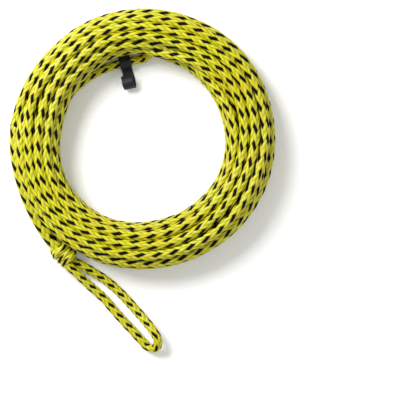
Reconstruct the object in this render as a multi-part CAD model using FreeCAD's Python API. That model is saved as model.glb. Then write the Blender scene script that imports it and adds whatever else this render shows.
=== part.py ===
import FreeCAD, Part
import math
import os

# A coiled tow rope for towed water toys, lying on a flat surface.
#
# One length of hollow-braid rope is wound into a round coil. At each end the braid is turned back
# into a loop, its tail is buried inside the standing part, and a knot closes the loop. The buried
# tail makes the standing part beside each knot thick. The first loop lies out past the coil. The
# second lies inside the coil's hole and carries the moulded keeper, whose hook snaps over a strand.
#
# Units are millimetres. Everything is set out about the coil's centre on the surface it lies on,
# +Z up, and is moved at the end so that the origin is the bottom centre of the whole object's box.
# Azimuths are in degrees, anticlockwise from +X seen from above.

Vector = FreeCAD.Vector
UP = Vector(0, 0, 1)

# Rope
ROPE_D = 9.5
SPLICE_D = 14.0
TAIL_D = 9.0
TAIL_CLEARANCE = 0.1
STRAND_PITCH = 10.0           # between the two strands of a loop where they leave a knot
SEAT_DEPTH = 3.0              # how far a strand runs into its knot before it is trimmed to the face

# Coil
COIL_OUTER_R = 139.5
COIL_INNER_R = 87.8
COIL_HEIGHT = 46.0
COIL_TOP_CORNER_R = 22.0
COIL_BOTTOM_CORNER_R = 16.0

# Knots
KNOT_LENGTH = 26.0
KNOT_R = 13.0
KNOT_END_R = 10.2
KNOT_WRAPS = 3
KNOT_A_CENTRE = Vector(-83.6, -122.5, 13.0)
KNOT_A_HEADING = -50.0
KNOT_A_EXIT_TILT = -50.0      # the two strands leave one above the other, turned about the heading
KNOT_B_AZIMUTH = 192.0
KNOT_B_RADIUS = 104.0
KNOT_B_Z = 17.0
KNOT_B_EXIT_TILT = 0.0

# Keeper: one strip bent into a closed ring, a flat shank and an open hook
KEEPER_AZIMUTH = 103.1
KEEPER_LENGTH = 35.5
KEEPER_WIDTH = 12.4
KEEPER_WAIST = 10.2
KEEPER_THICKNESS = 1.8
RING_BORE_R = 5.35
HOOK_BORE_R = 5.0
HOOK_CLOSING_ANGLE = 24.0     # how far the hook's round part goes past its top
LIP_LENGTH = 5.2
KEEPER_FLOOR_GAP = 0.15
STRAND_RADIUS_AT_KEEPER = 81.4
STRAND_HALF_RUN = 6.5         # degrees of azimuth from the keeper to the next corner on each side

RING_OUTER_R = RING_BORE_R + KEEPER_THICKNESS
STRAND_Z_AT_KEEPER = RING_OUTER_R + KEEPER_FLOOR_GAP
STRAND_CORNER_RADIUS = STRAND_RADIUS_AT_KEEPER / math.cos(math.radians(STRAND_HALF_RUN))
FLOOR_Z = ROPE_D / 2          # height of a strand's centre line where it lies on the surface

# How a route's corners are rounded: the arc takes this share of the shorter run on each side.
ARC_SHARE = 0.45


def polar(azimuth, radius, z):
    """A point at an azimuth, a distance from the coil's axis and a height."""
    turn = math.radians(azimuth)
    return Vector(radius * math.cos(turn), radius * math.sin(turn), z)


def heading(azimuth):
    """A level unit vector that points along an azimuth."""
    return polar(azimuth, 1.0, 0.0)


def rounded_path(points, name):
    """Straight runs between the points, joined by the largest tangent arcs that the runs allow."""
    edges = []
    radii = []
    here = points[0]
    for before, corner, after in zip(points, points[1:], points[2:]):
        run_in = corner - before
        run_out = after - corner
        share = ARC_SHARE * min(run_in.Length, run_out.Length)
        turn = run_in.getAngle(run_out)
        towards = Vector(run_in).normalize()
        away = Vector(run_out).normalize()
        start = corner - towards * share
        end = corner + away * share
        bisector = (away - towards).normalize()
        radius = share / math.tan(turn / 2)
        sagitta = radius * (1 / math.cos(turn / 2) - 1)
        edges.append(Part.LineSegment(here, start).toShape())
        edges.append(Part.Arc(start, corner + bisector * sagitta, end).toShape())
        radii.append(radius)
        here = end
    edges.append(Part.LineSegment(here, points[-1]).toShape())
    path = Part.Wire(edges)
    print(name, "length", round(path.Length, 1), "radii", [round(r, 1) for r in radii])
    return path


def tube(path, outer_d, bore_d=0.0):
    """A round tube, or a solid round bar, along a path."""
    start = path.Edges[0].Curve.value(path.Edges[0].FirstParameter)
    along = path.Edges[0].tangentAt(path.Edges[0].FirstParameter)
    solid = path.makePipeShell([Part.Wire(Part.makeCircle(outer_d / 2, start, along))], True, False)
    if bore_d:
        bore = path.makePipeShell([Part.Wire(Part.makeCircle(bore_d / 2, start, along))], True, False)
        solid = solid.cut(bore)
    section = math.pi / 4 * (outer_d**2 - bore_d**2)
    print("  volume", round(solid.Volume), "section times length", round(section * path.Length))
    return solid


def coil_bundle():
    """The whole coil's outer shape: a ring with a flat underside and rounded shoulders."""
    inner, outer, top = COIL_INNER_R, COIL_OUTER_R, COIL_HEIGHT
    high, low = COIL_TOP_CORNER_R, COIL_BOTTOM_CORNER_R

    def corner(x, z, radius, start_angle):
        """A quarter circle about (x, z), from start_angle on through 90 degrees."""
        at = [
            Vector(
                x + radius * math.cos(math.radians(start_angle + step)),
                0,
                z + radius * math.sin(math.radians(start_angle + step)),
            )
            for step in (0, 45, 90)
        ]
        return Part.Arc(*at).toShape(), at[0], at[2]

    corners = [
        corner(outer - low, low, low, -90),
        corner(outer - high, top - high, high, 0),
        corner(inner + high, top - high, high, 90),
        corner(inner + low, low, low, 180),
    ]
    edges = []
    for this, following in zip(corners, corners[1:] + corners[:1]):
        edges.append(this[0])
        edges.append(Part.LineSegment(this[2], following[1]).toShape())
    section = Part.Face(Part.Wire(edges))
    return section.revolve(Vector(0, 0, 0), UP, 360)


def knot(centre, axis):
    """A barrel of rope wraps about its axis, with a flat face at each end where the strands leave."""
    wrap_length = KNOT_LENGTH / KNOT_WRAPS
    edges = []
    at = -KNOT_LENGTH / 2
    edges.append(Part.LineSegment(Vector(0, 0, at), Vector(KNOT_END_R, 0, at)).toShape())
    for _ in range(KNOT_WRAPS):
        low = Vector(KNOT_END_R, 0, at)
        mid = Vector(KNOT_R, 0, at + wrap_length / 2)
        high = Vector(KNOT_END_R, 0, at + wrap_length)
        edges.append(Part.Arc(low, mid, high).toShape())
        at += wrap_length
    edges.append(Part.LineSegment(Vector(KNOT_END_R, 0, at), Vector(0, 0, at)).toShape())
    edges.append(Part.LineSegment(Vector(0, 0, at), Vector(0, 0, -KNOT_LENGTH / 2)).toShape())
    solid = Part.Face(Part.Wire(edges)).revolve(Vector(0, 0, 0), UP, 360)
    solid.Placement = FreeCAD.Placement(centre, FreeCAD.Rotation(UP, axis))
    return solid


def knot_exits(centre, axis, tilt):
    """Where the two loop strands leave a knot's front face, the left one first."""
    left = FreeCAD.Rotation(axis, tilt).multVec(UP.cross(axis).normalize()) * (STRAND_PITCH / 2)
    seat = centre + axis * (KNOT_LENGTH / 2 - SEAT_DEPTH)
    return seat + left, seat - left


# Loop A, from its knot out to the bight and back, relative to the coil's centre. The bight is
# folded tight and half stands on its edge, so its two strands lie at different heights.
LOOP_A_RIGHT_STRAND = [
    Vector(-70.5, -141.0, 15.0),
    Vector(-62.3, -149.3, 11.5),
    Vector(-51.5, -159.6, 7.5),
    Vector(-40.0, -169.6, 5.2),
    Vector(-31.2, -180.9, FLOOR_Z),
    Vector(-20.7, -192.6, FLOOR_Z),
    Vector(-9.6, -204.3, FLOOR_Z),
    Vector(-0.9, -214.0, FLOOR_Z),
]
LOOP_A_BIGHT = [
    Vector(5.0, -220.5, FLOOR_Z),
    Vector(11.7, -222.2, 8.3),
    Vector(16.4, -218.4, 13.3),
    Vector(16.2, -211.4, 16.9),
]
LOOP_A_LEFT_STRAND = [
    Vector(12.0, -203.9, 16.2),
    Vector(6.0, -196.2, 12.9),
    Vector(-1.8, -187.2, 9.2),
    Vector(-11.0, -177.0, 6.3),
    Vector(-20.5, -166.4, 4.9),
    Vector(-30.2, -157.3, FLOOR_Z),
    Vector(-40.0, -148.8, 5.0),
    Vector(-51.2, -141.9, 6.4),
    Vector(-62.0, -135.3, 7.9),
]

# Loop B, as azimuth, distance from the coil's axis and height: the near strand lies in the coil's
# hole and carries the keeper, and the far strand runs back under the turns.
LOOP_B_NEAR_STRAND = [
    (176.0, 98.6, 16.2),
    (165.5, 95.6, 14.2),
    (153.5, 90.7, 11.6),
    (140.0, 86.0, 9.2),
    (126.0, 83.0, 7.8),
    (KEEPER_AZIMUTH + STRAND_HALF_RUN, STRAND_CORNER_RADIUS, STRAND_Z_AT_KEEPER),
    (KEEPER_AZIMUTH - STRAND_HALF_RUN, STRAND_CORNER_RADIUS, STRAND_Z_AT_KEEPER),
]
LOOP_B_BIGHT = [
    (89.4, 82.3, 6.9),
    (85.7, 86.8, 10.5),
    (86.0, 92.8, 15.5),
    (89.5, 96.8, 19.0),
]
LOOP_B_FAR_STRAND = [
    (94.5, 98.3, 19.2),
    (102.5, 99.8, 18.8),
    (114.0, 101.2, 18.2),
    (127.5, 102.5, 17.6),
    (142.0, 103.8, 17.2),
    (157.0, 105.5, 17.0),
    (170.0, 107.6, 17.0),
    (178.5, 109.0, 17.0),
]

# Standing parts, from each knot's back face into the coil, as azimuth, distance and height.
SPLICE_A_ROUTE = [
    (227.4, 143.6, 14.0),
    (221.6, 140.8, 17.0),
    (213.7, 137.7, 21.0),
    (204.5, 134.9, 25.0),
    (194.4, 133.2, 27.5),
    (183.7, 132.9, 28.8),
    (174.8, 132.9, 29.2),
]
SPLICE_B_ROUTE = [
    (205.5, 104.6, 17.4),
    (214.5, 106.2, 18.2),
    (226.0, 108.0, 19.0),
    (238.5, 109.6, 19.8),
    (250.5, 110.8, 20.4),
]


def loop_route(exits, out, bight, back):
    """A loop's points, from the right exit of its knot round the bight to the left one."""
    left, right = exits
    return [right] + out + bight + back + [left]


def keeper_outline():
    """The keeper's side view as a face: x runs from the ring to the hook, y is up, ring axis at 0."""
    half = KEEPER_THICKNESS / 2
    ring_mid_r = RING_BORE_R + half
    hook_mid_r = HOOK_BORE_R + half
    shank_y = -ring_mid_r
    hook_x = KEEPER_LENGTH - RING_OUTER_R - HOOK_BORE_R - KEEPER_THICKNESS
    hook_y = shank_y + hook_mid_r
    end_angle = math.radians(90 + HOOK_CLOSING_ANGLE)
    close = math.radians(HOOK_CLOSING_ANGLE)

    def on_hook(radius, angle):
        return Vector(hook_x + radius * math.cos(angle), hook_y + radius * math.sin(angle), 0)

    inner_r, outer_r = HOOK_BORE_R, HOOK_BORE_R + KEEPER_THICKNESS
    inner_end = on_hook(inner_r, end_angle)
    outer_end = on_hook(outer_r, end_angle)
    tangent = Vector(-math.cos(close), -math.sin(close), 0)
    flare = Vector(-math.cos(close), math.sin(close), 0)
    bend = hook_mid_r * 0.35
    inner_bend = inner_end + tangent * bend
    inner_tip = inner_bend + flare * (LIP_LENGTH - bend)
    tip_out = Vector(math.sin(close), math.cos(close), 0) * KEEPER_THICKNESS
    outer_tip = inner_tip + tip_out
    outer_bend = outer_tip - flare * (LIP_LENGTH - bend)
    round_tip = (inner_tip + outer_tip) / 2 + flare * half

    strip = [
        Part.LineSegment(Vector(0, shank_y - half, 0), Vector(hook_x, shank_y - half, 0)).toShape(),
        Part.Arc(
            Vector(hook_x, shank_y - half, 0), on_hook(outer_r, 0), outer_end
        ).toShape(),
        Part.LineSegment(outer_end, outer_bend).toShape(),
        Part.LineSegment(outer_bend, outer_tip).toShape(),
        Part.Arc(outer_tip, round_tip, inner_tip).toShape(),
        Part.LineSegment(inner_tip, inner_bend).toShape(),
        Part.LineSegment(inner_bend, inner_end).toShape(),
        Part.Arc(inner_end, on_hook(inner_r, 0), Vector(hook_x, shank_y + half, 0)).toShape(),
        Part.LineSegment(Vector(hook_x, shank_y + half, 0), Vector(0, shank_y + half, 0)).toShape(),
        Part.LineSegment(Vector(0, shank_y + half, 0), Vector(0, shank_y - half, 0)).toShape(),
    ]
    return Part.Face(Part.Wire(strip)), hook_x, hook_y


def rope_keeper():
    """The keeper, its ring round the near strand of loop B and its shank towards the coil's centre."""
    outline, _, _ = keeper_outline()
    half_width = Vector(0, 0, KEEPER_WIDTH / 2)
    bent_strip = outline.translated(-half_width).extrude(half_width * 2)
    ring = Part.makeCylinder(RING_OUTER_R, KEEPER_WIDTH, -half_width, UP)
    bore = Part.makeCylinder(RING_BORE_R, KEEPER_WIDTH, -half_width, UP)
    body = ring.fuse(bent_strip).cut(bore).removeSplitter()

    # Waist: each side is hollowed by a large cylinder that stands across the strip.
    depth = (KEEPER_WIDTH - KEEPER_WAIST) / 2
    chord = KEEPER_LENGTH / 2
    hollow_r = (chord**2 / 4 + depth**2) / (2 * depth)
    waist_x = chord / 2
    tall = 4 * RING_OUTER_R
    for side in (-1, 1):
        at = Vector(waist_x, -tall / 2, side * (KEEPER_WAIST / 2 + hollow_r))
        body = body.cut(Part.makeCylinder(hollow_r, tall, at, Vector(0, 1, 0)))

    inwards = heading(KEEPER_AZIMUTH) * -1
    across = inwards.cross(UP)
    turn = FreeCAD.Matrix(
        inwards.x, UP.x, across.x, 0,
        inwards.y, UP.y, across.y, 0,
        inwards.z, UP.z, across.z, 0,
        0, 0, 0, 1,
    )
    place = FreeCAD.Placement(turn)
    place.Base = polar(KEEPER_AZIMUTH, STRAND_RADIUS_AT_KEEPER, STRAND_Z_AT_KEEPER)
    body.Placement = place
    return body


def build():
    """Every node's solid about the coil's centre."""
    axis_a = heading(KNOT_A_HEADING)
    centre_b = polar(KNOT_B_AZIMUTH, KNOT_B_RADIUS, KNOT_B_Z)
    axis_b = heading(KNOT_B_AZIMUTH - 90)

    near = [polar(*place) for place in LOOP_B_NEAR_STRAND]
    bight = [polar(*place) for place in LOOP_B_BIGHT]
    far = [polar(*place) for place in LOOP_B_FAR_STRAND]
    exits_a = knot_exits(KNOT_A_CENTRE, axis_a, KNOT_A_EXIT_TILT)
    exits_b = knot_exits(centre_b, axis_b, KNOT_B_EXIT_TILT)
    route_a = loop_route(exits_a, LOOP_A_RIGHT_STRAND, LOOP_A_BIGHT, LOOP_A_LEFT_STRAND)
    route_b = loop_route(exits_b, near, bight, far)
    back_a = KNOT_A_CENTRE - axis_a * (KNOT_LENGTH / 2 - SEAT_DEPTH)
    back_b = centre_b - axis_b * (KNOT_LENGTH / 2 - SEAT_DEPTH)
    standing_a = rounded_path([back_a] + [polar(*p) for p in SPLICE_A_ROUTE], "standing part A")
    standing_b = rounded_path([back_b] + [polar(*p) for p in SPLICE_B_ROUTE], "standing part B")
    cover_bore = TAIL_D + 2 * TAIL_CLEARANCE
    knot_a = knot(KNOT_A_CENTRE, axis_a)
    knot_b = knot(centre_b, axis_b)

    nodes = {
        "knot_a": knot_a,
        "loop_a": tube(rounded_path(route_a, "loop A"), ROPE_D).cut(knot_a),
        "splice_cover_a": tube(standing_a, SPLICE_D, cover_bore).cut(knot_a),
        "buried_tail_a": tube(standing_a, TAIL_D).cut(knot_a),
        "knot_b": knot_b,
        "loop_b": tube(rounded_path(route_b, "loop B"), ROPE_D).cut(knot_b),
        "splice_cover_b": tube(standing_b, SPLICE_D, cover_bore).cut(knot_b),
        "buried_tail_b": tube(standing_b, TAIL_D).cut(knot_b),
        "rope_keeper": rope_keeper(),
    }

    # The coil's solid leaves room for what lies in it or against it.
    bundle = coil_bundle()
    filled = [tube(standing_a, SPLICE_D), tube(standing_b, SPLICE_D)]
    for shape in filled + [nodes["loop_b"], nodes["knot_a"], nodes["knot_b"]]:
        bundle = bundle.cut(shape)
    nodes["rope_coil"] = bundle
    return nodes


def main():
    os.makedirs("parts", exist_ok=True)
    nodes = build()
    box = FreeCAD.BoundBox()
    for shape in nodes.values():
        box.add(shape.optimalBoundingBox(False, False))
    to_origin = Vector(-box.Center.x, -box.Center.y, 0)
    print("box", [round(v, 2) for v in (box.XLength, box.YLength, box.ZLength, box.ZMin)])
    print("coil centre from the origin", [round(v, 3) for v in to_origin])
    for name, shape in nodes.items():
        moved = shape.copy()
        moved.translate(to_origin)
        print(name, "valid", moved.isValid(), "solids", len(moved.Solids), "volume", round(moved.Volume))
        moved.exportStep("parts/" + name + ".step")


main()
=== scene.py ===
"""A coiled hollow-braid tow rope: its turns, its two knotted loops and its plastic keeper.

Lengths are in metres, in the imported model's frame. Places on the coil are set out as an azimuth in
degrees, a distance from the coil's axis and a height, as the design has them.
"""

import math

import bpy
import numpy as np
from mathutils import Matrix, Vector


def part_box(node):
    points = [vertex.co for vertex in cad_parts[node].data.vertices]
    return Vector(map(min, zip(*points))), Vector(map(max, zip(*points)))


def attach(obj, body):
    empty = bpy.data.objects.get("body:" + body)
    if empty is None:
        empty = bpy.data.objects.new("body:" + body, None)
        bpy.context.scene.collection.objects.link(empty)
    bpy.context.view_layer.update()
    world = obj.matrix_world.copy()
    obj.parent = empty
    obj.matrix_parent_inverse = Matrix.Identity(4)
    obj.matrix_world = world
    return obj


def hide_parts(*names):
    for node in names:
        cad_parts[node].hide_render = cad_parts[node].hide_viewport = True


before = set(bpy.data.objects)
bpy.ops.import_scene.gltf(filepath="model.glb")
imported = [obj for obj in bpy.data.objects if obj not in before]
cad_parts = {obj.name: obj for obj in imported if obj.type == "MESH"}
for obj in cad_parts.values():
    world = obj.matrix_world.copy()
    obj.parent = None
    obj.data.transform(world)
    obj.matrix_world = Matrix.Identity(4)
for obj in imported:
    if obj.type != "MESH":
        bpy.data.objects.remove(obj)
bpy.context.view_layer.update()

MM = 0.001

# The coil's centre and outer shape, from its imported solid
coil_low, coil_high = (np.array(corner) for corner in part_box("rope_coil"))
CENTRE = np.array([(coil_low[0] + coil_high[0]) / 2, (coil_low[1] + coil_high[1]) / 2, 0.0])
COIL_OUTER_R = (coil_high[0] - coil_low[0]) / 2
COIL_INNER_R = 87.8 * MM
COIL_HEIGHT = coil_high[2]

# Rope
ROPE_D = 9.5 * MM
COIL_ROPE_D = 11.0 * MM       # the rope lies slack in the coil, so it is thicker there
SPLICE_D = 14.0 * MM
TAPER_LENGTH = 36.0 * MM      # from a splice's full thickness down to the rope's
ON_FLOOR = 4.75               # height in millimetres of a drawn strand's middle on the floor

# Braid
YARNS_EACH_WAY = 8
CELL_STEPS = 3                # mesh steps across one yarn
LAY = 57.0 * MM               # one turn of a yarn round the rope
COIL_LAY = 71.0 * MM
SPLICE_LAY = 68.0 * MM
KNOT_LAY = 56.0 * MM
RELIEF = 0.75 * MM            # from the grooves between yarns to their crowns
COIL_RELIEF = 0.85 * MM
SPLICE_RELIEF = 0.95 * MM
SUNK_RELIEF = 0.85            # the share of the relief that lies inside the rope's surface
COIL_TWIST = 0.06             # extra turns for each lay, as the rope rolls over while it is coiled
LOOP_A_TURN = 0.6             # how far round its line the outlying loop's pattern starts, in radians
COIL_PIECES = 4               # meshes that the coil is divided into

# Coil
COIL_FOOT_R = 13.0 * MM       # rounding of the bundle's lower edges
COIL_SHOULDER_R = 22.0 * MM   # and of its upper ones
COIL_SPARE_HEIGHT = 1.0 * MM  # how far its top turns may stand above the solid
ROWS = [                      # height in the bundle and turns in each row, from the bottom
    (5.6, 4),
    (14.2, 3),
    (22.8, 4),
    (31.4, 4),
    (40.0, 3),
]
ROW_PITCH = 12.0 * MM
TURNS = sum(count for _, count in ROWS)

# How the coil settles
STATIONS = 96                 # points round one turn
SETTLING_STEPS = 420
LATE_STEPS = 0.8              # the share of the steps after which nothing sinks any more
TURN_GAP = 0.985              # how close two strands' centres may lie, in rope diameters
STIFFNESS = 0.9               # how much of a bend a step takes out
LATE_STIFFNESS = 0.5
SINKING = 0.035 * MM          # how far a strand sinks in a step
PUSHES = 3                    # rounds in a step in which the strands push each other away
STRAND_SHARE = 0.36           # the share of an overlap that a strand moves off another strand
FIXED_SHARE = 0.8             # and off something that doesn't move
LEAN_PULL = 0.06              # how strongly the inner strands follow the coil's inner side
LEAN_LIMIT = 0.14 * MM
END_FADE = 24                 # stations over which the coil's two ends come to their splices
EASING_STEPS = 8              # rounds of smoothing where settled strands cross
EASING = 0.6
RUN_ON = 6                    # stations over which the first turn lies in line with its splice
WANDER_SEED = 13
WANDER_WAVES = 9
WANDER_RATES = (0.23, 1.9)    # waves in one turn, least and most
WANDER_SIZES = (0.6, 2.4)     # half height of a wave in millimetres, least and most

# Keeper
KEEPER_AZIMUTH = 103.1
KEEPER_LENGTH = 35.5 * MM
KEEPER_WIDTH = 12.4 * MM
KEEPER_WAIST = 11.4 * MM      # its least width, along the shank
KEEPER_THICKNESS = 1.8 * MM
RING_BORE_R = 5.35 * MM
RING_OUTER_R = RING_BORE_R + KEEPER_THICKNESS
HOOK_BORE_R = 5.0 * MM
HOOK_CLOSING = 24.0           # degrees past its top that the hook's round part goes
HOOK_LEAN = 0.17              # how far its upper side leans to the side, for each unit of height
LIP_LENGTH = 5.2 * MM
KEEPER_VOXEL = 0.28 * MM
KEEPER_FLOOR_GAP = 0.15 * MM
KEEPER_CLEARANCE = 1.8 * MM   # room kept round the ring while the coil settles
KEEPER_END_GAP = 2.0 * MM     # and past its two ends
STRAND_RADIUS_AT_KEEPER = 81.4 * MM
STRAND_Z_AT_KEEPER = RING_OUTER_R + KEEPER_FLOOR_GAP
STRAND_HALF_RUN = 6.5
STRAND_CORNER_RADIUS = STRAND_RADIUS_AT_KEEPER / math.cos(math.radians(STRAND_HALF_RUN))

# Knots
KNOT_LENGTH = 26.0 * MM
KNOT_HALF_SOLID = 12.0 * MM   # half the length, and the radius, of the room kept for a knot
KNOT_SEAT = 7.0 * MM          # how deep the strands reach into a knot
STRAND_PITCH = 10.0 * MM
KNOT_TURNS = 2
KNOT_STEP = 30                # degrees from one point of the winding to the next
KNOT_OFFSET = 1.3             # how far its turns sit to the left of its axis, in millimetres
KNOT_START = -80.0            # bearing from straight up where the winding starts
KNOT_PATTERN_TURN = math.radians(-33.75)   # puts a row of tracers along the outside of the turns
KNOT_FLATNESS = 0.92
KNOT_A_CENTRE = CENTRE + np.array([-83.6, -122.5, 13.0]) * MM
KNOT_A_HEADING = -50.0
KNOT_A_EXIT_TILT = -50.0
KNOT_B_AZIMUTH = 192.0
KNOT_B_CENTRE_R = 104.0 * MM
KNOT_B_Z = 17.0 * MM

# Camera
FRAME_WIDTH = 443.5 * MM      # what the view takes in at the floor's level
CAMERA_HEIGHT = 2.6
AIM = CENTRE + np.array([70.8, -76.0, 0.0]) * MM

UP = np.array([0.0, 0.0, 1.0])


def polar(azimuth, radius, z):
    """A point of the frame from its azimuth in degrees, distance from the coil's axis and height."""
    turn = np.radians(azimuth)
    return CENTRE + np.array([radius * np.cos(turn), radius * np.sin(turn), z])


def heading(azimuth):
    """A level unit vector along an azimuth."""
    turn = math.radians(azimuth)
    return np.array([math.cos(turn), math.sin(turn), 0.0])


def from_coil(points):
    """Points given in millimetres from the coil's centre, in the frame."""
    return [CENTRE + np.array(p) * MM for p in points]


def from_azimuths(places):
    """Points given as azimuth, distance in millimetres and height in millimetres."""
    return [polar(azimuth, radius * MM, z * MM) for azimuth, radius, z in places]


# ---------------------------------------------------------------------------------------------
# Camera: straight down on the coil, which lies in the upper left of the view


def add_camera():
    """The scene's camera, which looks straight down."""
    data = bpy.data.cameras.new("camera")
    data.sensor_width = 36.0
    data.lens = data.sensor_width * CAMERA_HEIGHT / FRAME_WIDTH
    camera = bpy.data.objects.new("camera", data)
    camera.location = AIM + np.array([0, 0, CAMERA_HEIGHT])
    bpy.context.scene.collection.objects.link(camera)
    bpy.context.scene.camera = camera


add_camera()


# ---------------------------------------------------------------------------------------------
# Cord lines


def smooth_line(points, resolution=12):
    """Points along the NURBS spline that has these points as its control points."""
    curve = bpy.data.curves.new("route", "CURVE")
    curve.dimensions = "3D"
    curve.resolution_u = resolution
    spline = curve.splines.new("NURBS")
    spline.points.add(len(points) - 1)
    for place, point in zip(spline.points, points):
        place.co = (*point, 1.0)
    spline.order_u = 3
    spline.use_endpoint_u = True
    holder = bpy.data.objects.new("route", curve)
    line = bpy.data.meshes.new_from_object(holder)
    found = np.array([v.co for v in line.vertices])
    bpy.data.meshes.remove(line)
    bpy.data.objects.remove(holder)
    bpy.data.curves.remove(curve)
    return found


def lengths_along(line):
    """How far along the line each of its points lies."""
    steps = np.linalg.norm(np.diff(line, axis=0), axis=1)
    return np.concatenate([[0.0], np.cumsum(steps)])


def evenly_spaced(line, step):
    """The line again at points a fixed distance apart, and how far along it each one lies."""
    along = lengths_along(line)
    count = max(4, int(round(along[-1] / step)) + 1)
    at = np.linspace(0.0, along[-1], count)
    return np.stack([np.interp(at, along, line[:, axis]) for axis in range(3)], axis=1), at


def carried_frames(line):
    """A tangent and two square directions at each point, carried along the line without twist."""
    tangents = np.gradient(line, axis=0)
    tangents /= np.linalg.norm(tangents, axis=1)[:, None]
    side = np.cross(tangents[0], UP)
    if np.linalg.norm(side) < 1e-3:
        side = np.array([1.0, 0.0, 0.0])
    sides = np.empty_like(line)
    for i, tangent in enumerate(tangents):
        side = side - tangent * (side @ tangent)
        side = side / math.sqrt(side @ side)
        sides[i] = side
    return tangents, sides, np.cross(tangents, sides)


# ---------------------------------------------------------------------------------------------
# The routes of what isn't coiled: the two loops and the standing parts beside their knots


KNOT_A_AXIS = heading(KNOT_A_HEADING)
KNOT_B_AXIS = heading(KNOT_B_AZIMUTH - 90)
KNOT_B_CENTRE = polar(KNOT_B_AZIMUTH, KNOT_B_CENTRE_R, KNOT_B_Z)


def knot_exits(centre, axis, tilt):
    """Where the two strands of a loop leave its knot, the left one first."""
    left = np.cross(UP, axis)
    turn = math.radians(tilt)
    left = left * math.cos(turn) + np.cross(axis, left) * math.sin(turn)
    face = centre + axis * (KNOT_LENGTH / 2)
    return face + left * (STRAND_PITCH / 2), face - left * (STRAND_PITCH / 2)


LOOP_A_ROUTE = from_coil([
    (-70.5, -141.0, 15.0),
    (-62.3, -149.3, 11.5),
    (-51.5, -159.6, 7.5),
    (-40.0, -169.6, 5.2),
    (-31.2, -180.9, ON_FLOOR),
    (-20.7, -192.6, ON_FLOOR),
    (-9.6, -204.3, ON_FLOOR),
    (-0.9, -214.0, ON_FLOOR),
    (5.0, -220.5, ON_FLOOR),
    (11.7, -222.2, 8.3),
    (16.4, -218.4, 13.3),
    (16.2, -211.4, 16.9),
    (12.0, -203.9, 16.2),
    (6.0, -196.2, 12.9),
    (-1.8, -187.2, 9.2),
    (-11.0, -177.0, 6.3),
    (-20.5, -166.4, 4.9),
    (-30.2, -157.3, ON_FLOOR),
    (-40.0, -148.8, 5.0),
    (-51.2, -141.9, 6.4),
    (-62.0, -135.3, 7.9),
])

LOOP_B_ROUTE = from_azimuths([
    (176.0, 98.6, 16.2),
    (165.5, 95.6, 14.2),
    (153.5, 91.6, 11.6),
    (140.0, 87.6, 9.2),
    (126.0, 84.9, 7.8),
    (KEEPER_AZIMUTH + STRAND_HALF_RUN, STRAND_CORNER_RADIUS / MM, STRAND_Z_AT_KEEPER / MM),
    (KEEPER_AZIMUTH - STRAND_HALF_RUN, STRAND_CORNER_RADIUS / MM, STRAND_Z_AT_KEEPER / MM),
    (89.4, 83.0, 6.9),
    (85.7, 86.8, 10.5),
    (86.0, 92.8, 15.5),
    (89.5, 96.8, 19.0),
    (94.5, 98.3, 19.2),
    (102.5, 99.8, 18.8),
    (114.0, 101.2, 18.2),
    (127.5, 102.5, 17.6),
    (142.0, 103.8, 17.2),
    (157.0, 105.5, 17.0),
    (170.0, 107.6, 17.0),
    (178.5, 109.0, 17.0),
])

SPLICE_A_PLACES = [
    (227.4, 143.6, 14.0),
    (221.6, 140.8, 17.0),
    (213.7, 137.7, 21.0),
    (204.5, 134.9, 25.0),
    (194.4, 133.2, 27.5),
    (183.7, 132.9, 28.8),
    (174.8, 132.9, 29.2),
]

SPLICE_B_PLACES = [
    (205.5, 104.6, 17.4),
    (214.5, 106.2, 18.2),
    (226.0, 108.0, 19.0),
    (238.5, 109.6, 19.8),
    (250.5, 110.8, 20.4),
]


def loop_line(centre, axis, tilt, route):
    """A loop's smooth line, from the right exit of its knot round the bight to the left one."""
    left, right = knot_exits(centre, axis, tilt)
    inwards = axis * KNOT_SEAT
    return smooth_line([right - inwards, right] + route + [left, left - inwards])


def splice_line(centre, axis, places):
    """A splice's smooth line, from inside its knot to where the coil's turns take over."""
    back = centre - axis * (KNOT_LENGTH / 2)
    return smooth_line([back + axis * KNOT_SEAT, back] + from_azimuths(places))


loop_a_line = loop_line(KNOT_A_CENTRE, KNOT_A_AXIS, KNOT_A_EXIT_TILT, LOOP_A_ROUTE)
loop_b_line = loop_line(KNOT_B_CENTRE, KNOT_B_AXIS, 0.0, LOOP_B_ROUTE)
splice_a_line = splice_line(KNOT_A_CENTRE, KNOT_A_AXIS, SPLICE_A_PLACES)
splice_b_line = splice_line(KNOT_B_CENTRE, KNOT_B_AXIS, SPLICE_B_PLACES)


def splice_diameters(line):
    """A splice's thickness along its line: full by the knot, down to the coil's rope at its end."""
    left = lengths_along(line)[-1] - lengths_along(line)
    full = np.clip(left / TAPER_LENGTH, 0, 1)
    return COIL_ROPE_D + (SPLICE_D - COIL_ROPE_D) * full**0.7


# ---------------------------------------------------------------------------------------------
# The coil: its turns settle against each other in the bundle's cross-section


# The coil starts where the second loop's splice ends, and ends where the first loop's begins
START_AZIMUTH = SPLICE_B_PLACES[-1][0]
START_PLACE = np.array(SPLICE_B_PLACES[-1][1:]) * MM
END_AZIMUTH = SPLICE_A_PLACES[-1][0]
END_PLACE = np.array(SPLICE_A_PLACES[-1][1:]) * MM

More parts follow.
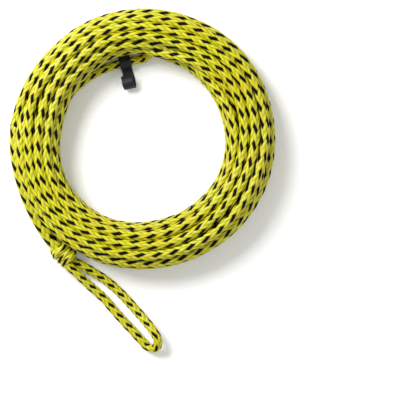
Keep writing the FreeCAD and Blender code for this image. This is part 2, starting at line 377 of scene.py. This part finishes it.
# The coil isn't quite round: at an azimuth, how far in millimetres its inner and its outer side
# lie nearer the centre than a true ring's would. These numbers weren't chosen by hand. They follow
# what a measuring program printed for the photograph's outline against a render's, so they aren't
# a way of working to copy.
INNER_SIDE = [
    (0, 1.2), (15, 2.9), (45, 3.7), (62, 3.8), (76, 5.2), (88, 1.5), (95, 0.0), (109, 0.0), (117, 2.0),
    (135, 2.3), (152, 4.2), (166, 4.6), (180, 3.0), (195, 0.0), (210, -2.4), (226, -3.7), (240, -4.0),
    (255, -2.6), (270, -0.8), (285, 0.8), (315, 0.9), (332, -0.8), (346, 0.2),
]
OUTER_SIDE = [
    (0, 0.6), (45, 0.6), (60, 2.6), (75, 3.6), (105, 4.6), (122, 5.4), (140, 5.3), (155, 4.0), (168, 1.2),
    (195, 0.4), (240, 0.3), (270, 1.3), (300, 0.9), (330, -0.6), (345, -0.6),
]


def side_shift(side, azimuths):
    """How far one side of the coil lies in from a true ring, in metres."""
    keys = np.array(side, float)
    return np.interp(azimuths % 360.0, keys[:, 0], keys[:, 1], period=360.0) * MM


def row_places():
    """Where each turn would lie in a tidy bundle, row by row, back and forth."""
    middle = (COIL_INNER_R + COIL_OUTER_R) / 2
    places = []
    for row, (z, count) in enumerate(ROWS):
        across = [(i - (count - 1) / 2) * ROW_PITCH + middle for i in range(count)]
        if row % 2:
            across.reverse()
        places += [(r, z * MM) for r in across]
    return np.array(places)


def station_of(azimuth):
    """How many stations round from the coil's start an azimuth is."""
    return (azimuth - START_AZIMUTH) / 360.0 * STATIONS


def wander(count):
    """A slow unevenness, as slack rope has where nothing ties it: sideways and in height."""
    random = np.random.default_rng(WANDER_SEED)
    angle = np.arange(count) * 2 * math.pi / STATIONS
    moved = np.zeros((count, 2))
    for _ in range(WANDER_WAVES):
        rate = random.uniform(*WANDER_RATES)
        phase = random.uniform(0, 2 * math.pi, 2)
        size = random.uniform(*WANDER_SIZES) * MM
        moved[:, 0] += size * np.sin(angle * rate + phase[0])
        moved[:, 1] += 0.7 * size * np.sin(angle * rate * 1.13 + phase[1])
    return moved


def starting_places():
    """The coil's line before it settles, as distances from the axis and heights."""
    last = station_of(END_AZIMUTH + 360.0) + (TURNS - 1) * STATIONS
    count = int(round(last)) + 1
    turn, station = np.divmod(np.arange(count), STATIONS)
    progress = station / STATIONS
    ease = progress**2 * (3 - 2 * progress)
    tidy = row_places()
    following = np.minimum(turn + 1, TURNS - 1)
    place = tidy[turn] * (1 - ease)[:, None] + tidy[following] * ease[:, None]
    place = place + wander(count)
    fade = np.linspace(1, 0, END_FADE)[:, None]
    place[:END_FADE] = place[:END_FADE] * (1 - fade) + START_PLACE * fade
    fade = np.linspace(0, 1, END_FADE)[:, None]
    place[-END_FADE:] = place[-END_FADE:] * (1 - fade) + END_PLACE * fade
    return place


def obstacle(line, radius):
    """What a line already laid takes up at each station: its place and radius, NaN where absent."""
    radii = np.broadcast_to(np.asarray(radius, float), (len(line),))
    flat = line - CENTRE
    azimuths = np.degrees(np.unwrap(np.arctan2(flat[:, 1], flat[:, 0])))
    station = station_of(azimuths)
    found = np.full((STATIONS, 3), np.nan)
    for i in range(STATIONS):
        gap = (station - i + STATIONS / 2) % STATIONS - STATIONS / 2
        nearest = np.argmin(np.abs(gap))
        if abs(gap[nearest]) < 0.6:
            found[i] = (np.hypot(*flat[nearest, :2]), flat[nearest, 2], radii[nearest])
    return found


def straight_line(middle, half):
    """A short straight line with this middle, which reaches this far either way."""
    return np.linspace(middle - half, middle + half, 20)


def obstacles():
    """All that the turns settle against, at each station; the two splices come first."""
    bight = len(loop_b_line) // 2
    ring_middle = polar(KEEPER_AZIMUTH, STRAND_RADIUS_AT_KEEPER, STRAND_Z_AT_KEEPER)
    ring_half = heading(KEEPER_AZIMUTH + 90.0) * (KEEPER_WIDTH / 2 + KEEPER_END_GAP)
    return np.stack([
        obstacle(splice_a_line, splice_diameters(splice_a_line) / 2),
        obstacle(splice_b_line, splice_diameters(splice_b_line) / 2),
        obstacle(loop_b_line[:bight], ROPE_D / 2),
        obstacle(loop_b_line[bight:], ROPE_D / 2),
        obstacle(straight_line(KNOT_A_CENTRE, KNOT_A_AXIS * KNOT_HALF_SOLID), KNOT_HALF_SOLID),
        obstacle(straight_line(KNOT_B_CENTRE, KNOT_B_AXIS * KNOT_HALF_SOLID), KNOT_HALF_SOLID),
        obstacle(straight_line(ring_middle, ring_half), RING_OUTER_R + KEEPER_CLEARANCE),
    ], axis=1)


def least_distances(radii):
    """How far each turn's centre has to be from every other turn's and from each obstacle's."""
    every = np.full((STATIONS, TURNS + radii.shape[1]), COIL_ROPE_D / 2)
    every[:, TURNS:] = np.nan_to_num(radii)
    reach = (every[:, :TURNS, None] + every[:, None, :]) * TURN_GAP
    reach[:, TURNS - 1, TURNS] = 0.0    # the last turn runs on into the first loop's splice
    reach[:RUN_ON, 0, TURNS + 1] = 0.0  # and the first one out of the second loop's
    return reach


def pushed_apart(place, blocks, reach):
    """Moves the strands that lie too close off each other, and off what doesn't move."""
    whole = np.full((TURNS * STATIONS, 2), np.nan)
    whole[:len(place)] = place
    grid = whole.reshape(TURNS, STATIONS, 2).transpose(1, 0, 2)
    discs = np.concatenate([grid, blocks], axis=1)
    apart = grid[:, :, None, :] - discs[:, None, :, :]
    distance = np.sqrt((apart**2).sum(axis=3))
    distance[:, range(TURNS), range(TURNS)] = np.inf
    short = np.nan_to_num(np.clip(reach - distance, 0, None))
    share = np.full(discs.shape[1], STRAND_SHARE)
    share[TURNS:] = FIXED_SHARE
    unit = np.nan_to_num(apart / np.maximum(distance, 1e-7)[..., None])
    grid = grid + (unit * (short * share)[..., None]).sum(axis=2)
    return grid.transpose(1, 0, 2).reshape(-1, 2)[:len(place)]


def inside_bundle(place, lean, tuck):
    """Keeps strand centres inside the bundle's rounded outline, whose sides lie in by lean and tuck."""
    half = (COIL_OUTER_R - COIL_INNER_R - COIL_ROPE_D) / 2
    middle = (COIL_OUTER_R + COIL_INNER_R) / 2
    top = COIL_HEIGHT - COIL_ROPE_D / 2 + COIL_SPARE_HEIGHT
    floor = COIL_ROPE_D / 2
    inward = np.where(place[:, 0] < middle, lean, tuck)
    x = np.clip(place[:, 0] - middle + inward, -half, half)
    z = np.clip(place[:, 1], floor, top)
    for radius, centre_z, beyond in (
        (COIL_SHOULDER_R - COIL_ROPE_D / 2, top - COIL_SHOULDER_R + COIL_ROPE_D / 2, 1.0),
        (COIL_FOOT_R - COIL_ROPE_D / 2, floor + COIL_FOOT_R - COIL_ROPE_D / 2, -1.0),
    ):
        out_x = np.abs(x) - (half - radius)
        out_z = (z - centre_z) * beyond
        in_corner = (out_x > 0) & (out_z > 0)
        far = np.hypot(out_x, out_z)
        over = in_corner & (far > radius)
        scale = np.where(over, radius / np.maximum(far, 1e-9), 1.0)
        x = np.where(over, np.sign(x) * (half - radius + out_x * scale), x)
        z = np.where(over, centre_z + beyond * out_z * scale, z)
    return np.column_stack([x + middle - inward, z])


def straightened(place, share):
    """Takes out a share of the bend at every point but the two ends."""
    eased = place.copy()
    eased[1:-1] += ((place[:-2] + place[2:]) / 2 - place[1:-1]) * share
    return eased


def settled_turns():
    """The coil's centre line, from the second splice round every turn to the first splice."""
    place = starting_places()
    taken = obstacles()
    blocks = taken[:, :, :2]
    reach = least_distances(taken[:, :, 2])
    azimuth = START_AZIMUTH + np.arange(len(place)) * 360.0 / STATIONS
    lean = side_shift(INNER_SIDE, azimuth)
    tuck = side_shift(OUTER_SIDE, azimuth)

    for step in range(SETTLING_STEPS):
        late = step > SETTLING_STEPS * LATE_STEPS
        place = straightened(place, LATE_STIFFNESS if late else STIFFNESS)
        place[1:-1, 1] -= 0.0 if late else SINKING
        near_hole = place[:, 0] < COIL_INNER_R + COIL_ROPE_D
        place[:, 0] -= np.where(near_hole, np.clip(LEAN_PULL * lean, 0.0, LEAN_LIMIT), 0.0)
        for _ in range(PUSHES):
            place = inside_bundle(pushed_apart(place, blocks, reach), lean, tuck)
        place[0] = START_PLACE
        place[-1] = END_PLACE
    for _ in range(EASING_STEPS):
        place = straightened(place, EASING)
    turn = np.radians(azimuth)
    flat = np.stack([place[:, 0] * np.cos(turn), place[:, 0] * np.sin(turn)], axis=1)
    return np.column_stack([flat, place[:, 1]]) + CENTRE


# ---------------------------------------------------------------------------------------------
# Braid: a mesh whose faces are the yarns' own floats, two over and two under


def braided_tube(name, line, diameters, pitch, relief, turn=0.0, twist=0.0, flat=None, share=(0.0, 1.0)):
    """A hollow braid along a line. diameters is one number, or one for each point of the line.

    A yarn of one hand keeps its a, a yarn of the other hand its b; each crossing of the two is one
    unit cell, and a float is two cells long. turn starts the pattern at another angle and twist
    adds turns for each lay. flat is a direction and a factor: the section is that much narrower
    along the direction. share is the part of the line to make, and its pattern runs on from one
    part to the next.
    """
    around = 2 * YARNS_EACH_WAY * CELL_STEPS
    half = around // 2
    along = lengths_along(line)
    given = np.broadcast_to(np.asarray(diameters, float), (len(line),))
    line, at = evenly_spaced(line, pitch / around)
    diameter = np.interp(at, along, given)
    tangents, sides, ups = carried_frames(line)
    width = 1.0
    if flat:
        direction, width = flat
        sides = direction - tangents * (tangents @ direction)[:, None]
        sides /= np.linalg.norm(sides, axis=1)[:, None]
        ups = np.cross(tangents, sides)

    # Vertices: every second place round each level, the odd levels half a step round from the even
    first, last = (int(round(s * (len(line) - 1))) for s in share)
    level = np.repeat(np.arange(first, last + 1), half)
    index = np.tile(np.arange(0, around, 2), last - first + 1) + level % 2
    a = (index + level) / 2 / CELL_STEPS
    b = (index - level) / 2 / CELL_STEPS
    rise = float_height(a, b)
    radius = diameter[level] / 2 - relief * (SUNK_RELIEF - rise)
    angle = turn + index * 2 * math.pi / around + twist * 2 * math.pi * at[level] / pitch
    points = line[level] + (
        sides[level] * (radius * np.cos(angle) * width)[:, None]
        + ups[level] * (radius * np.sin(angle))[:, None]
    )

    def vertex(at_level, at_index):
        return (at_level - first) * half + (at_index % around) // 2

    # Faces: one mesh step of a yarn each, round a middle at every level; half of it at either end
    mid = np.repeat(np.arange(first + 1, last), half)
    ix = np.tile(np.arange(0, around, 2), last - first - 1) + (mid + 1) % 2
    quads = np.stack([
        vertex(mid - 1, ix), vertex(mid, ix + 1), vertex(mid + 1, ix), vertex(mid, ix - 1)
    ], axis=1)
    near = np.arange(0, around, 2) + (first + 1) % 2
    far = np.arange(0, around, 2) + (last + 1) % 2
    ends = np.vstack([
        np.stack([vertex(first, near + 1), vertex(first + 1, near), vertex(first, near - 1)], axis=1),
        np.stack([vertex(last, far - 1), vertex(last - 1, far), vertex(last, far + 1)], axis=1),
    ])
    mid = np.concatenate([mid, np.full(half, first), np.full(half, last)])
    ix = np.concatenate([ix, near, far])
    face_a = (ix + mid - 1) // 2
    face_b = (ix - mid + 1) // 2 - 1

    # Caps, on vertices of their own so that they don't bend the shading of the rope's surface
    rim = len(points)
    points = np.vstack([points, points[:half], points[-half:], line[first], line[last]])
    rise = np.concatenate([rise, rise[:half], rise[-half:], [0.0, 0.0]])
    here = np.arange(half)
    onward = (here + 1) % half
    caps = np.vstack([
        np.stack([rim + onward, rim + here, np.full(half, rim + 2 * half)], axis=1),
        np.stack([rim + half + here, rim + half + onward, np.full(half, rim + 2 * half + 1)], axis=1),
    ])

    mesh = bpy.data.meshes.new(name)
    mesh.vertices.add(len(points))
    mesh.vertices.foreach_set("co", points.astype(np.float32).ravel())
    corners = np.concatenate([quads.ravel(), ends.ravel(), caps.ravel()])
    mesh.loops.add(len(corners))
    mesh.loops.foreach_set("vertex_index", corners.astype(np.int32))
    sizes = np.concatenate([np.full(len(quads), 4), np.full(len(ends) + len(caps), 3)])
    mesh.polygons.add(len(sizes))
    starts = np.concatenate([[0], np.cumsum(sizes)[:-1]])
    mesh.polygons.foreach_set("loop_start", starts.astype(np.int32))

    left_handed, dark = which_yarn(face_a, face_b)
    slots = np.concatenate([dark, np.zeros(len(caps))])
    mesh.polygons.foreach_set("material_index", slots.astype(np.int32))
    fibres = mesh.uv_layers.new(name="fibres")
    count = len(quads)
    places = fibre_places(face_a[:count], face_b[:count], left_handed[:count])
    spare = np.zeros((len(corners) - 4 * count) * 2)
    fibres.data.foreach_set("uv", np.concatenate([places, spare]).astype(np.float32))
    # The yarns' height at each point; the yarn material darkens the grooves from it, as painted shade
    depth = mesh.attributes.new("depth", "FLOAT", "POINT")
    depth.data.foreach_set("value", rise.astype(np.float32))
    mesh.update()
    mesh.validate()
    mesh.shade_smooth()
    piece = bpy.data.objects.new(name, mesh)
    bpy.context.scene.collection.objects.link(piece)
    return piece, line[first: last + 1]


def float_height(a, b):
    """How high a yarn stands at a lattice point, from 0 in the grooves to 1 along its crown."""
    row, column = np.floor(a + 1e-6), np.floor(b + 1e-6)
    phase = (row + column) % 4
    left_on_top = phase < 2
    across = np.where(left_on_top, a - row, b - column)
    along = np.where(left_on_top, (b - column + phase) / 2, (a - row + phase - 2) / 2)
    crown = np.sqrt(np.clip(1 - (2 * across - 1) ** 2, 0, 1))
    lift = np.sqrt(np.clip(np.sin(math.pi * along), 0, 1))
    return crown * lift


def which_yarn(quad_a, quad_b):
    """Whether the left-handed yarn is on top in each mesh quad, and whether it is a black tracer."""
    row, column = quad_a // CELL_STEPS, quad_b // CELL_STEPS
    left_handed = (row + column) % 4 < 2
    return left_handed, left_handed & (row % 2 == 0)


def fibre_places(quad_a, quad_b, left_handed):
    """Texture places in yarn widths, across and along each float; every float has its own patch."""
    corner_a = np.stack([quad_a, quad_a + 1, quad_a + 1, quad_a], axis=1) / CELL_STEPS
    corner_b = np.stack([quad_b + 1, quad_b + 1, quad_b, quad_b], axis=1) / CELL_STEPS
    of_left = left_handed[:, None]
    across = np.where(of_left, corner_a, corner_b + 57.0)
    along = np.where(of_left, corner_b, corner_a)
    patch = (quad_a // CELL_STEPS * 7 + (quad_a + quad_b) // (2 * CELL_STEPS) * 3) % 41
    return np.stack([across, along + patch[:, None] * 0.37], axis=2).ravel()


# ---------------------------------------------------------------------------------------------
# Materials


class Nodes:
    """A small helper that adds and links shader nodes."""

    def __init__(self, name):
        self.material = bpy.data.materials.new(name)
        self.material.use_nodes = True
        self.tree = self.material.node_tree
        self.shader = next(n for n in self.tree.nodes if n.type == "BSDF_PRINCIPLED")

    def add(self, kind, inputs=None, **settings):
        node = self.tree.nodes.new(kind)
        for key, value in settings.items():
            setattr(node, key, value)
        for key, value in (inputs or {}).items():
            self.put(node.inputs[key], value)
        return node

    def put(self, socket, value):
        """A value or an output goes into a socket."""
        if isinstance(value, bpy.types.NodeSocket):
            self.tree.links.new(value, socket)
        else:
            socket.default_value = value

    def maths(self, operation, *values):
        node = self.add("ShaderNodeMath", operation=operation)
        for socket, value in zip(node.inputs, values):
            self.put(socket, value)
        return node.outputs[0]

    def mix(self, share, first, second):
        node = self.add("ShaderNodeMix", data_type="RGBA")
        self.put(node.inputs["Factor"], share)
        self.put(node.inputs[6], first)
        self.put(node.inputs[7], second)
        return node.outputs[2]

    def ramp(self, value, *stops):
        node = self.add("ShaderNodeValToRGB", {"Fac": value})
        elements = node.color_ramp.elements
        while len(elements) < len(stops):
            elements.new(0.5)
        for element, (place, colour) in zip(elements, stops):
            element.position = place
            element.color = colour
        return node.outputs["Color"]

    def range(self, value, low, high, to_low, to_high):
        node = self.add("ShaderNodeMapRange")
        for socket, given in zip(node.inputs, (value, low, high, to_low, to_high)):
            self.put(socket, given)
        return node.outputs[0]

    def noise(self, vector, **inputs):
        given = {key.capitalize(): value for key, value in inputs.items()}
        return self.add("ShaderNodeTexNoise", {"Vector": vector, **given}).outputs[0]

    def finish(self, colour, roughness, height, strength, distance, shine):
        """The surface's colour, gloss and fine relief."""
        self.put(self.shader.inputs["Base Color"], colour)
        self.put(self.shader.inputs["Roughness"], roughness)
        bump = self.add("ShaderNodeBump", {"Height": height, "Strength": strength, "Distance": distance})
        self.put(self.shader.inputs["Normal"], bump.outputs[0])
        self.shader.inputs["Specular IOR Level"].default_value = shine


FIBRE_HEIGHT = 0.12 * MM      # relief of a yarn's filaments
GRAIN_HEIGHT = 0.06 * MM      # and of the keeper's texture


def yarn_material(name, crown, body, painted_groove_shade, worn, roughness, fibre_depth, shine):
    """A flat bundle of glossy filaments: streaks along the yarn, and painted shade, darker and warmer, in
    the grooves.
    """
    n = Nodes(name)
    fibres = n.add("ShaderNodeUVMap", uv_map="fibres").outputs[0]
    fine = n.add("ShaderNodeMapping", {"Vector": fibres, "Scale": (15.0, 0.9, 1.0)}).outputs[0]
    coarse = n.add("ShaderNodeMapping", {"Vector": fibres, "Scale": (2.6, 0.8, 1.0)}).outputs[0]
    filaments = n.noise(fine, scale=1.0, detail=2.0, roughness=0.6)
    blotches = n.noise(coarse, scale=1.0, detail=1.0)
    depth = n.add("ShaderNodeAttribute", attribute_name="depth").outputs["Fac"]
    place = n.add("ShaderNodeTexCoord").outputs["Object"]
    along_rope = n.noise(place, scale=38.0, detail=2.0)

    streaks = n.maths("MULTIPLY", filaments, 0.55)
    patches = n.maths("MULTIPLY", blotches, 0.45)
    tone = n.maths("ADD", streaks, patches)
    surface = n.ramp(n.range(tone, 0.32, 0.68, 0.0, 1.0), (0.0, body), (1.0, crown))
    # Painted shade: the colour darkens and warms towards the groove shade colour in the grooves between
    # yarns
    groove = n.range(depth, 0.0, 0.62, 1.0, 0.0)
    shade = n.maths("MULTIPLY", groove, 0.62)
    colour = n.mix(shade, surface, painted_groove_shade)
    wear = n.range(along_rope, 0.42, 0.75, 0.0, 0.55)
    colour = n.mix(wear, colour, worn)
    matt = n.range(tone, 0.3, 0.7, roughness + 0.12, roughness - 0.08)
    n.finish(colour, matt, filaments, fibre_depth, FIBRE_HEIGHT, shine)
    return n.material


YELLOW = yarn_material(
    "yellow_yarn",
    crown=(0.60, 0.62, 0.010, 1),
    body=(0.50, 0.48, 0.006, 1),
    # painted shade in the grooves between yarns
    painted_groove_shade=(0.13, 0.085, 0.002, 1),
    worn=(0.52, 0.41, 0.005, 1),
    roughness=0.42,
    fibre_depth=0.5,
    shine=0.4,
)
BLACK = yarn_material(
    "black_yarn",
    crown=(0.008, 0.005, 0.004, 1),
    body=(0.003, 0.002, 0.0015, 1),
    painted_groove_shade=(0.003, 0.002, 0.002, 1),
    # painted shade in the grooves between yarns
    worn=(0.007, 0.004, 0.003, 1),
    roughness=0.5,
    fibre_depth=0.6,
    shine=0.05,
)


# ---------------------------------------------------------------------------------------------
# Rope pieces


def as_rope(piece, stands_for):
    """A braided piece's finish, its body and the solid that it replaces."""
    piece.data.materials.append(YELLOW)
    piece.data.materials.append(BLACK)
    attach(piece, "rope")
    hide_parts(stands_for)


def add_cord(name, line, diameters, pitch, relief, stands_for, slot, pattern=None, **facts):
    """A length of rope: its braided mesh, its finish and its body."""
    piece, path = braided_tube(name, line, diameters, pitch, relief, **(pattern or {}))
    as_rope(piece, stands_for)


def knot_winding():
    """The knot's strand as places along its axis and out from it, in millimetres, and degrees wound."""
    steps = np.arange(0, KNOT_TURNS * 360 + 1, KNOT_STEP)
    places = [(10.0, 2.6, -60.0), (10.4, 5.2, -30.0)]
    places += [(8.8 - 11.4 * s, 6.9 + 0.6 * s, a) for s, a in zip(steps / steps[-1], steps)]
    end = steps[-1]
    for a in range(KNOT_STEP, 360 - KNOT_STEP + 1, KNOT_STEP):
        tilt = math.cos(math.radians(a + end + KNOT_START))
        places.append((-6.4 + 1.9 * tilt, 8.1 + 0.8 * tilt, end + a))
    return places + [(-9.6, 5.4, end + 355.0), (-9.2, 2.2, end + 380.0)]


def add_knot(name, centre, axis, stands_for):
    """A knot: close turns wound back round the strands, then one fuller turn across their end."""
    left = np.cross(UP, axis)
    up = np.cross(axis, left)
    points = []
    for x, radius, angle in knot_winding():
        bearing = math.radians(angle + KNOT_START)
        out = left * math.sin(bearing) + up * math.cos(bearing)
        points.append(centre + (axis * x + out * radius + left * KNOT_OFFSET) * MM)
    piece, _ = braided_tube(
        name, smooth_line(points), ROPE_D, KNOT_LAY, RELIEF,
        turn=KNOT_PATTERN_TURN, flat=(axis, KNOT_FLATNESS),
    )
    as_rope(piece, stands_for)
    return piece


def add_coil():
    """The coil's turns, divided along the rope; their pattern runs on from mesh to mesh."""
    line = smooth_line(list(settled_turns()), resolution=3)
    for part in range(COIL_PIECES):
        share = (part / COIL_PIECES, (part + 1) / COIL_PIECES)
        add_cord(
            f"coil_turns_{part + 1}", line, COIL_ROPE_D, COIL_LAY, COIL_RELIEF,
            "rope_coil", "rope_braid", pattern={"twist": COIL_TWIST, "share": share},
            far_end="object", lay="coiled",
        )


def add_loop(name, line, stands_for, knot, turn):
    """A loop of the rope drawn tight."""
    add_cord(
        name, line, ROPE_D, LAY, RELIEF, stands_for, "rope_braid", pattern={"turn": turn},
        far_end="knot", lay="loose", with_pieces=(knot,),
    )


def add_splice(name, line, stands_for):
    """The standing part beside a knot, opened out over the tail inside it."""
    add_cord(
        name, line, splice_diameters(line), SPLICE_LAY, SPLICE_RELIEF, stands_for, "splice_braid",
        far_end="object", lay="loose",
    )


add_coil()
outer_knot = add_knot("outer_knot", KNOT_A_CENTRE, KNOT_A_AXIS, "knot_a")
add_loop("outlying_loop", loop_a_line, "loop_a", outer_knot, LOOP_A_TURN)
inner_knot = add_knot("inner_knot", KNOT_B_CENTRE, KNOT_B_AXIS, "knot_b")
add_loop("inner_loop", loop_b_line, "loop_b", inner_knot, 0.0)
add_splice("outer_splice", splice_a_line, "splice_cover_a")
add_splice("inner_splice", splice_b_line, "splice_cover_b")

# The tails lie inside the splices and keep their plain solids
for node in ("buried_tail_a", "buried_tail_b"):
    tail = bpy.data.objects[node]
    tail.data.materials.clear()
    tail.data.materials.append(YELLOW)


# ---------------------------------------------------------------------------------------------
# Keeper


def keeper_centre_line():
    """The strip's middle in side view, from the ring round to the lip, and where the shank begins."""
    half = KEEPER_THICKNESS / 2
    ring_r = RING_BORE_R + half
    hook_r = HOOK_BORE_R + half
    hook_x = KEEPER_LENGTH - RING_OUTER_R - HOOK_BORE_R - KEEPER_THICKNESS
    hook_y = hook_r - ring_r
    ring = np.radians(np.linspace(-90, -450, 73))
    line = [(ring_r * math.cos(a), ring_r * math.sin(a)) for a in ring]
    shank_start = len(line)
    line += [(x, -ring_r) for x in np.linspace(0, hook_x, 28)[1:]]
    hook = np.radians(np.linspace(-90, 90 + HOOK_CLOSING, 44)[1:])
    line += [(hook_x + hook_r * math.cos(a), hook_y + hook_r * math.sin(a)) for a in hook]
    close = math.radians(HOOK_CLOSING)
    bend = hook_r * 0.35
    x, y = line[-1]
    x, y = x - math.cos(close) * bend, y - math.sin(close) * bend
    lip = np.linspace(0, LIP_LENGTH - bend + half * 0.6, 10)
    line += [(x - math.cos(close) * s, y + math.sin(close) * s) for s in lip]
    return np.array(line), shank_start


def keeper_widths(line, shank_start):
    """The strip's half width along its line: drawn in along the shank, rounded off at the lip."""
    width = np.full(len(line), KEEPER_WIDTH / 2)
    chord = KEEPER_LENGTH / 2
    shank = (np.arange(len(line)) >= shank_start) & (line[:, 1] < -RING_BORE_R)
    bow = np.clip(1 - (2 * line[:, 0] / chord - 1) ** 2, 0, 1)
    width -= np.where(shank, (KEEPER_WIDTH - KEEPER_WAIST) / 2 * bow, 0.0)
    width[-3:] -= np.array([0.15, 0.45, 1.1]) * MM
    return width


def strip_section():
    """The strip's section, a rounded oblong, as shares of its half width and half thickness."""
    around = np.linspace(0, 2 * math.pi, 20, endpoint=False)
    circle = np.stack([np.cos(around), np.sin(around)], axis=1)
    return np.sign(circle) * np.abs(circle) ** np.array([0.22, 0.55])


def keeper_strip():
    """The strip's mesh: its section carried along its centre line, with a face at either end."""
    line, shank_start = keeper_centre_line()
    half_width = keeper_widths(line, shank_start)
    inwards = heading(KEEPER_AZIMUTH) * -1
    across = np.cross(inwards, UP)
    place = polar(KEEPER_AZIMUTH, STRAND_RADIUS_AT_KEEPER, STRAND_Z_AT_KEEPER)
    tangent = np.gradient(line, axis=0)
    tangent /= np.linalg.norm(tangent, axis=1)[:, None]
    normal = np.stack([-tangent[:, 1], tangent[:, 0]], axis=1)
    section = strip_section()
    points = []
    for i, middle in enumerate(line):
        height = middle[1] - line[shank_start, 1] if i >= shank_start else 0.0
        for u, v in section:
            x, y = middle + normal[i] * v * KEEPER_THICKNESS / 2
            sideways = u * half_width[i] + HOOK_LEAN * height
            points.append(place + inwards * x + UP * y + across * sideways)
    size = len(section)
    faces = []
    for near in range(0, len(points) - size, size):
        far = near + size
        for j in range(size):
            k = (j + 1) % size
            faces.append((near + j, near + k, far + k, far + j))
    faces.append(tuple(range(size))[::-1])
    faces.append(tuple(range(len(points) - size, len(points))))
    mesh = bpy.data.meshes.new("keeper_strip")
    mesh.from_pydata([tuple(p) for p in points], [], faces)
    return mesh


def add_keeper():
    """The keeper: a bent strip of moulded plastic, ring, shank, hook and lip in one skin."""
    piece = bpy.data.objects.new("keeper_clip", keeper_strip())
    bpy.context.scene.collection.objects.link(piece)
    remesh = piece.modifiers.new("one_skin", "REMESH")
    remesh.mode = "VOXEL"
    remesh.voxel_size = KEEPER_VOXEL
    soften = piece.modifiers.new("soften", "SMOOTH")
    soften.iterations = 5
    soften.factor = 0.5
    evaluated = piece.evaluated_get(bpy.context.evaluated_depsgraph_get())
    shaped = bpy.data.meshes.new_from_object(evaluated)
    piece.modifiers.clear()
    piece.data = shaped
    shaped.shade_smooth()
    shaped.materials.clear()
    shaped.materials.append(moulded_plastic())
    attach(piece, "keeper")
    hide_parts("rope_keeper")


def moulded_plastic():
    """Black plastic with a fine spark-eroded texture, slightly polished where it has been handled."""
    n = Nodes("keeper_plastic")
    place = n.add("ShaderNodeTexCoord").outputs["Object"]
    grain = n.noise(place, scale=2600.0, detail=2.0)
    wear = n.noise(place, scale=140.0, detail=3.0)
    colour = n.ramp(wear, (0.3, (0.006, 0.007, 0.011, 1)), (0.75, (0.011, 0.012, 0.018, 1)))
    roughness = n.range(wear, 0.3, 0.7, 0.52, 0.36)
    n.finish(colour, roughness, grain, 0.35, GRAIN_HEIGHT, 0.32)
    return n.material


add_keeper()


# ---------------------------------------------------------------------------------------------
# Floor and light


def add_floor():
    """A plain white floor, with just enough glow of its own to read as white."""
    bpy.ops.mesh.primitive_plane_add(size=4.0, location=(0, 0, 0))
    floor = bpy.context.object
    floor.name = "floor"
    n = Nodes("floor")
    n.put(n.shader.inputs["Base Color"], (0.93, 0.93, 0.93, 1))
    n.put(n.shader.inputs["Roughness"], 0.9)
    n.put(n.shader.inputs["Emission Color"], (1, 1, 1, 1))
    n.put(n.shader.inputs["Emission Strength"], 0.06)
    floor.data.materials.append(n.material)


def add_light(name, place, size, power):
    """A round soft light that faces the model."""
    data = bpy.data.lights.new(name, "AREA")
    data.shape = "DISK"
    data.size = size
    data.energy = power
    light = bpy.data.objects.new(name, data)
    light.location = place
    light.rotation_euler = (-Vector(place)).to_track_quat("-Z", "Y").to_euler()
    bpy.context.scene.collection.objects.link(light)


def add_sky():
    """Even white light from all round."""
    world = bpy.data.worlds.new("world")
    world.use_nodes = True
    background = world.node_tree.nodes["Background"]
    background.inputs["Color"].default_value = (1, 1, 1, 1)
    background.inputs["Strength"].default_value = 0.5
    bpy.context.scene.world = world


add_floor()
add_light("key", (-1.0, 0.9, 1.35), 1.1, 47.5)
add_light("fill", (1.3, -0.6, 1.2), 1.4, 7)
add_sky()
bpy.context.scene.view_settings.view_transform = "Standard"
